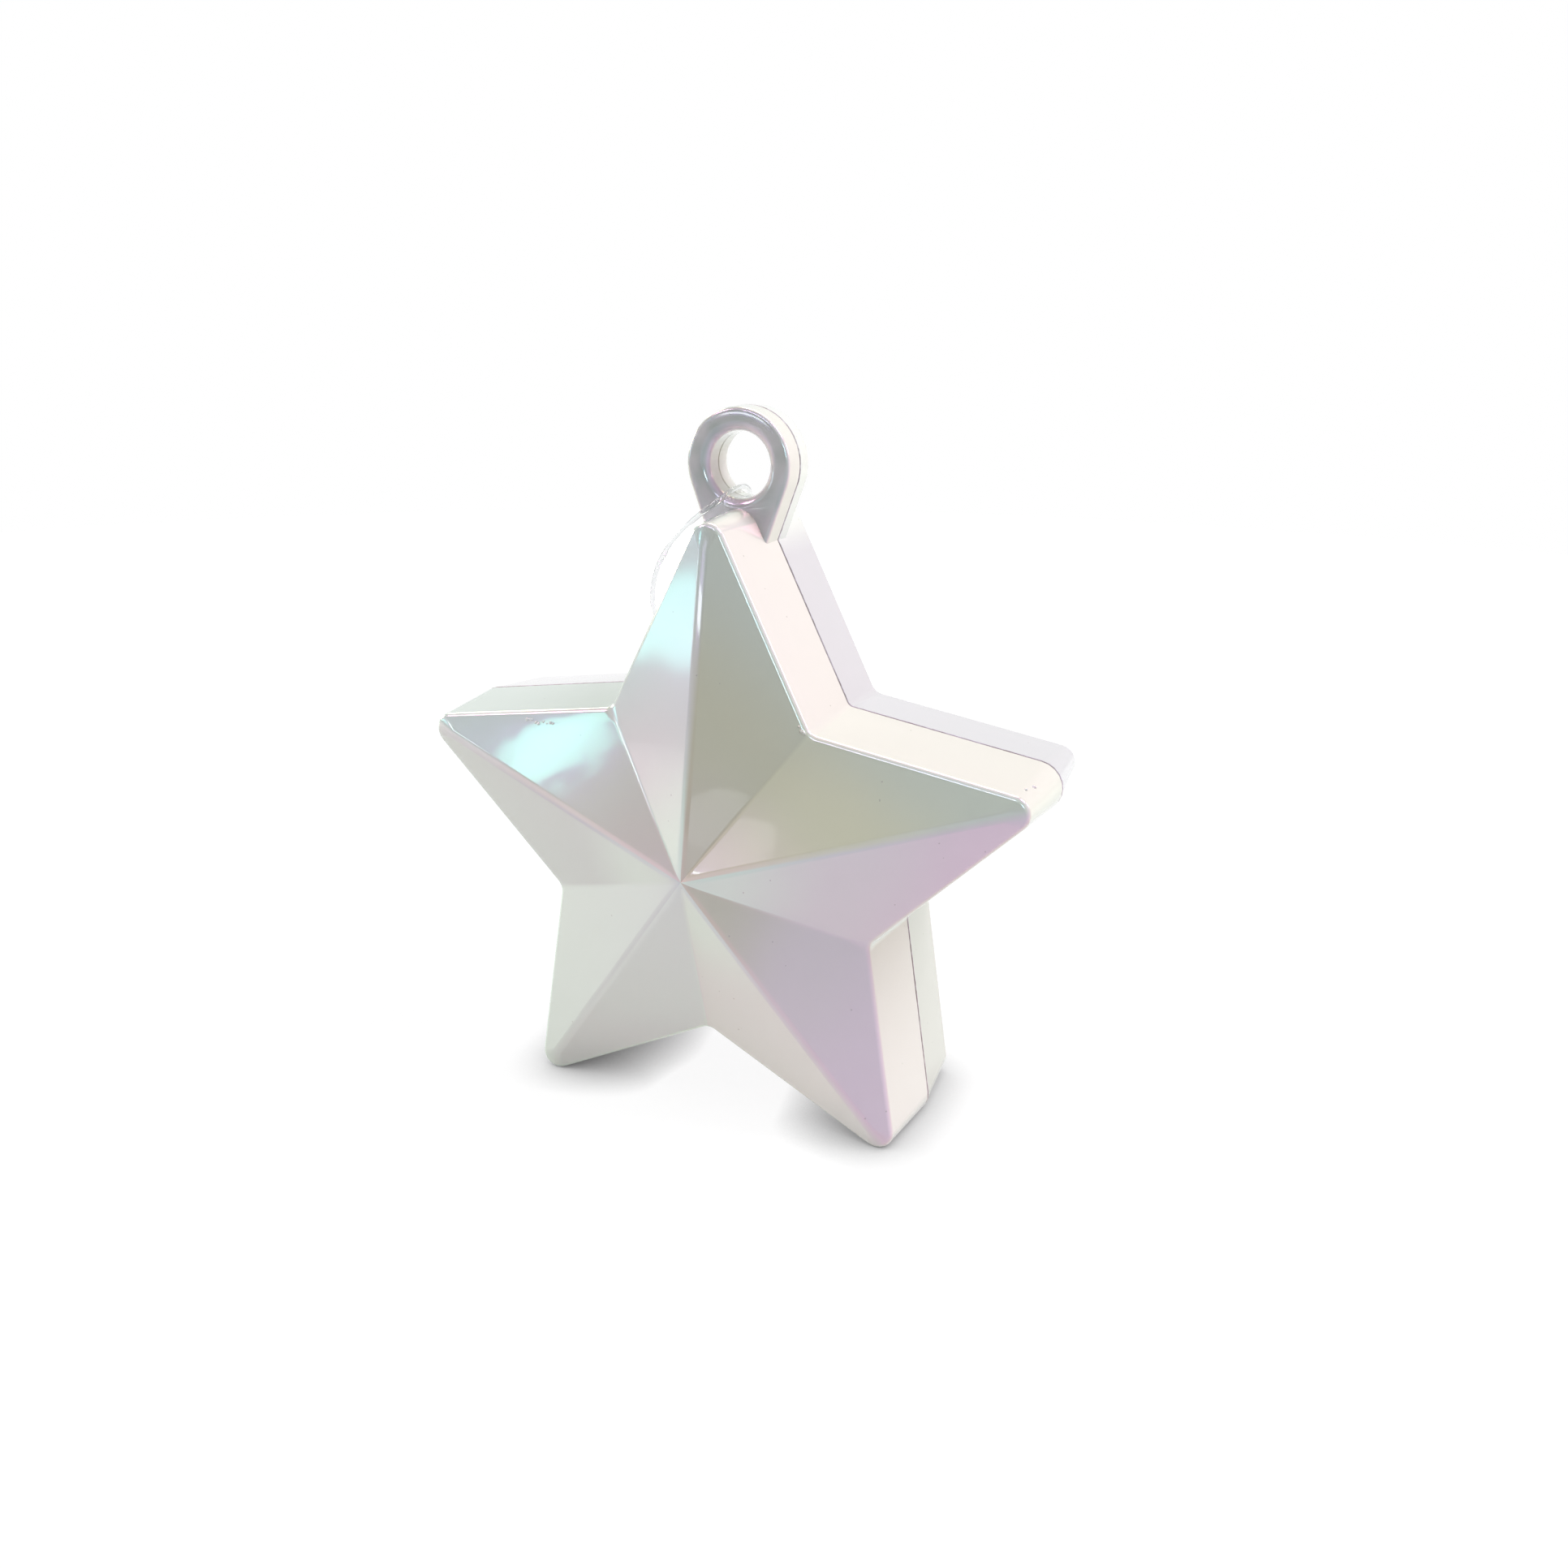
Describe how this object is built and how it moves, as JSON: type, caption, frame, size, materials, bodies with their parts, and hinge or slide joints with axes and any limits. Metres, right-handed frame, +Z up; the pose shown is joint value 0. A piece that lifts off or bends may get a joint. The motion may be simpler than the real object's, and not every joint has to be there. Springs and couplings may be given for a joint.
{
  "type": "balloon weight",
  "caption": "Star-shaped balloon weight: faceted pearl plastic shells glued round a cast core, with a hanging eye and a clear filament loop.",
  "frame": {"origin": "centre of the base, in the parting plane, on the surface that the two lower tips stand on", "axes": "+Z up through the top tip and the hanging eye, -Y out of the front facets, +X to the right seen from the front"},
  "size_m": [0.0786, 0.0358, 0.0853],
  "materials": {
    "pearl_plastic": "glossy pearl white with a faint iridescent sheen",
    "cast_mineral": "rough cast mineral",
    "clear_plastic": "clear drawn filament"
  },
  "bodies": {
    "star": {"front_shell": "pearl_plastic", "rear_shell": "pearl_plastic", "ballast_core": "cast_mineral"},
    "tag_loop": {"hang_loop": "clear_plastic", "loop_lock": "clear_plastic"}
  },
  "joints": [
    {"name": "loop_swing", "type": "hinge", "parent": "star", "child": "tag_loop", "pos_m": [0, 0, 0.07877], "axis": [0, 1, 0], "range_deg": [0, 285]}
  ]
}
